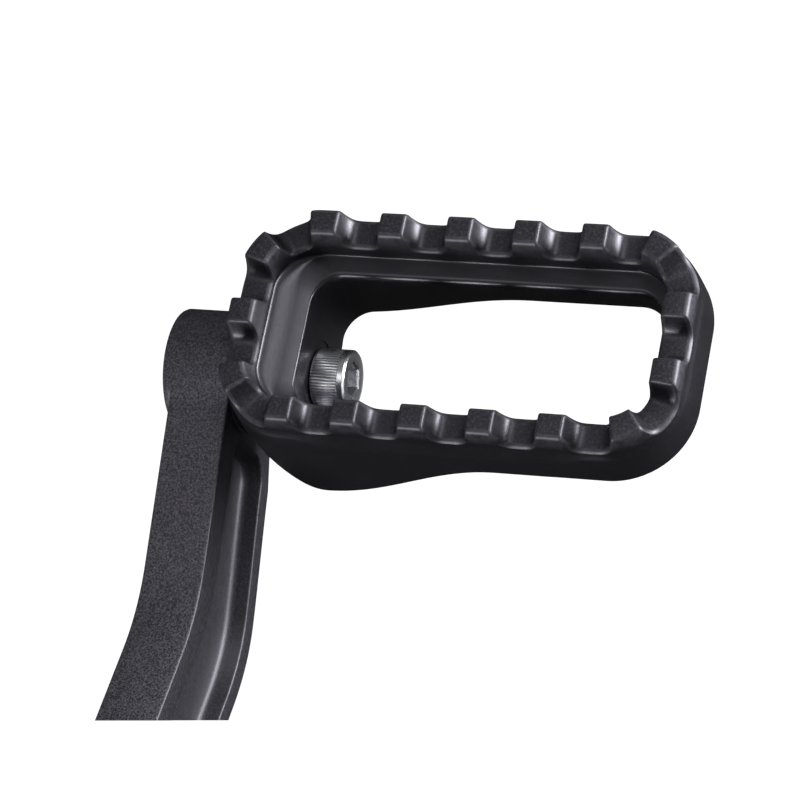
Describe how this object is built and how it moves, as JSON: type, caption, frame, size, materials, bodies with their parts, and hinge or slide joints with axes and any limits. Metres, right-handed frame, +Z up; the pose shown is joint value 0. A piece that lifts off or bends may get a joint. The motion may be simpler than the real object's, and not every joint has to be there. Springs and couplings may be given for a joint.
{
  "type": "brake pedal pad",
  "caption": "Serrated open-loop brake pedal pad, bolted with a cap screw to the outer end of a forged I-section pedal lever.",
  "frame": {"origin": "centre of the flat face where the pictured stretch of lever arm ends", "axes": "+X along the clamping screw, from the lever to the free end of the pad; +Z up, out of the tooth tops; +Y across the pad, away from the lever arm's end"},
  "size_m": [0.09, 0.0883, 0.0416],
  "materials": {
    "black_anodised": "satin black anodised",
    "charcoal_coat": "fine-grained charcoal powder coat on a forging",
    "plated_steel": "bright zinc plated"
  },
  "bodies": {
    "root": {"pedal_pad": "black_anodised", "pad_screw": "plated_steel", "lever_arm": "charcoal_coat"}
  },
  "joints": []
}
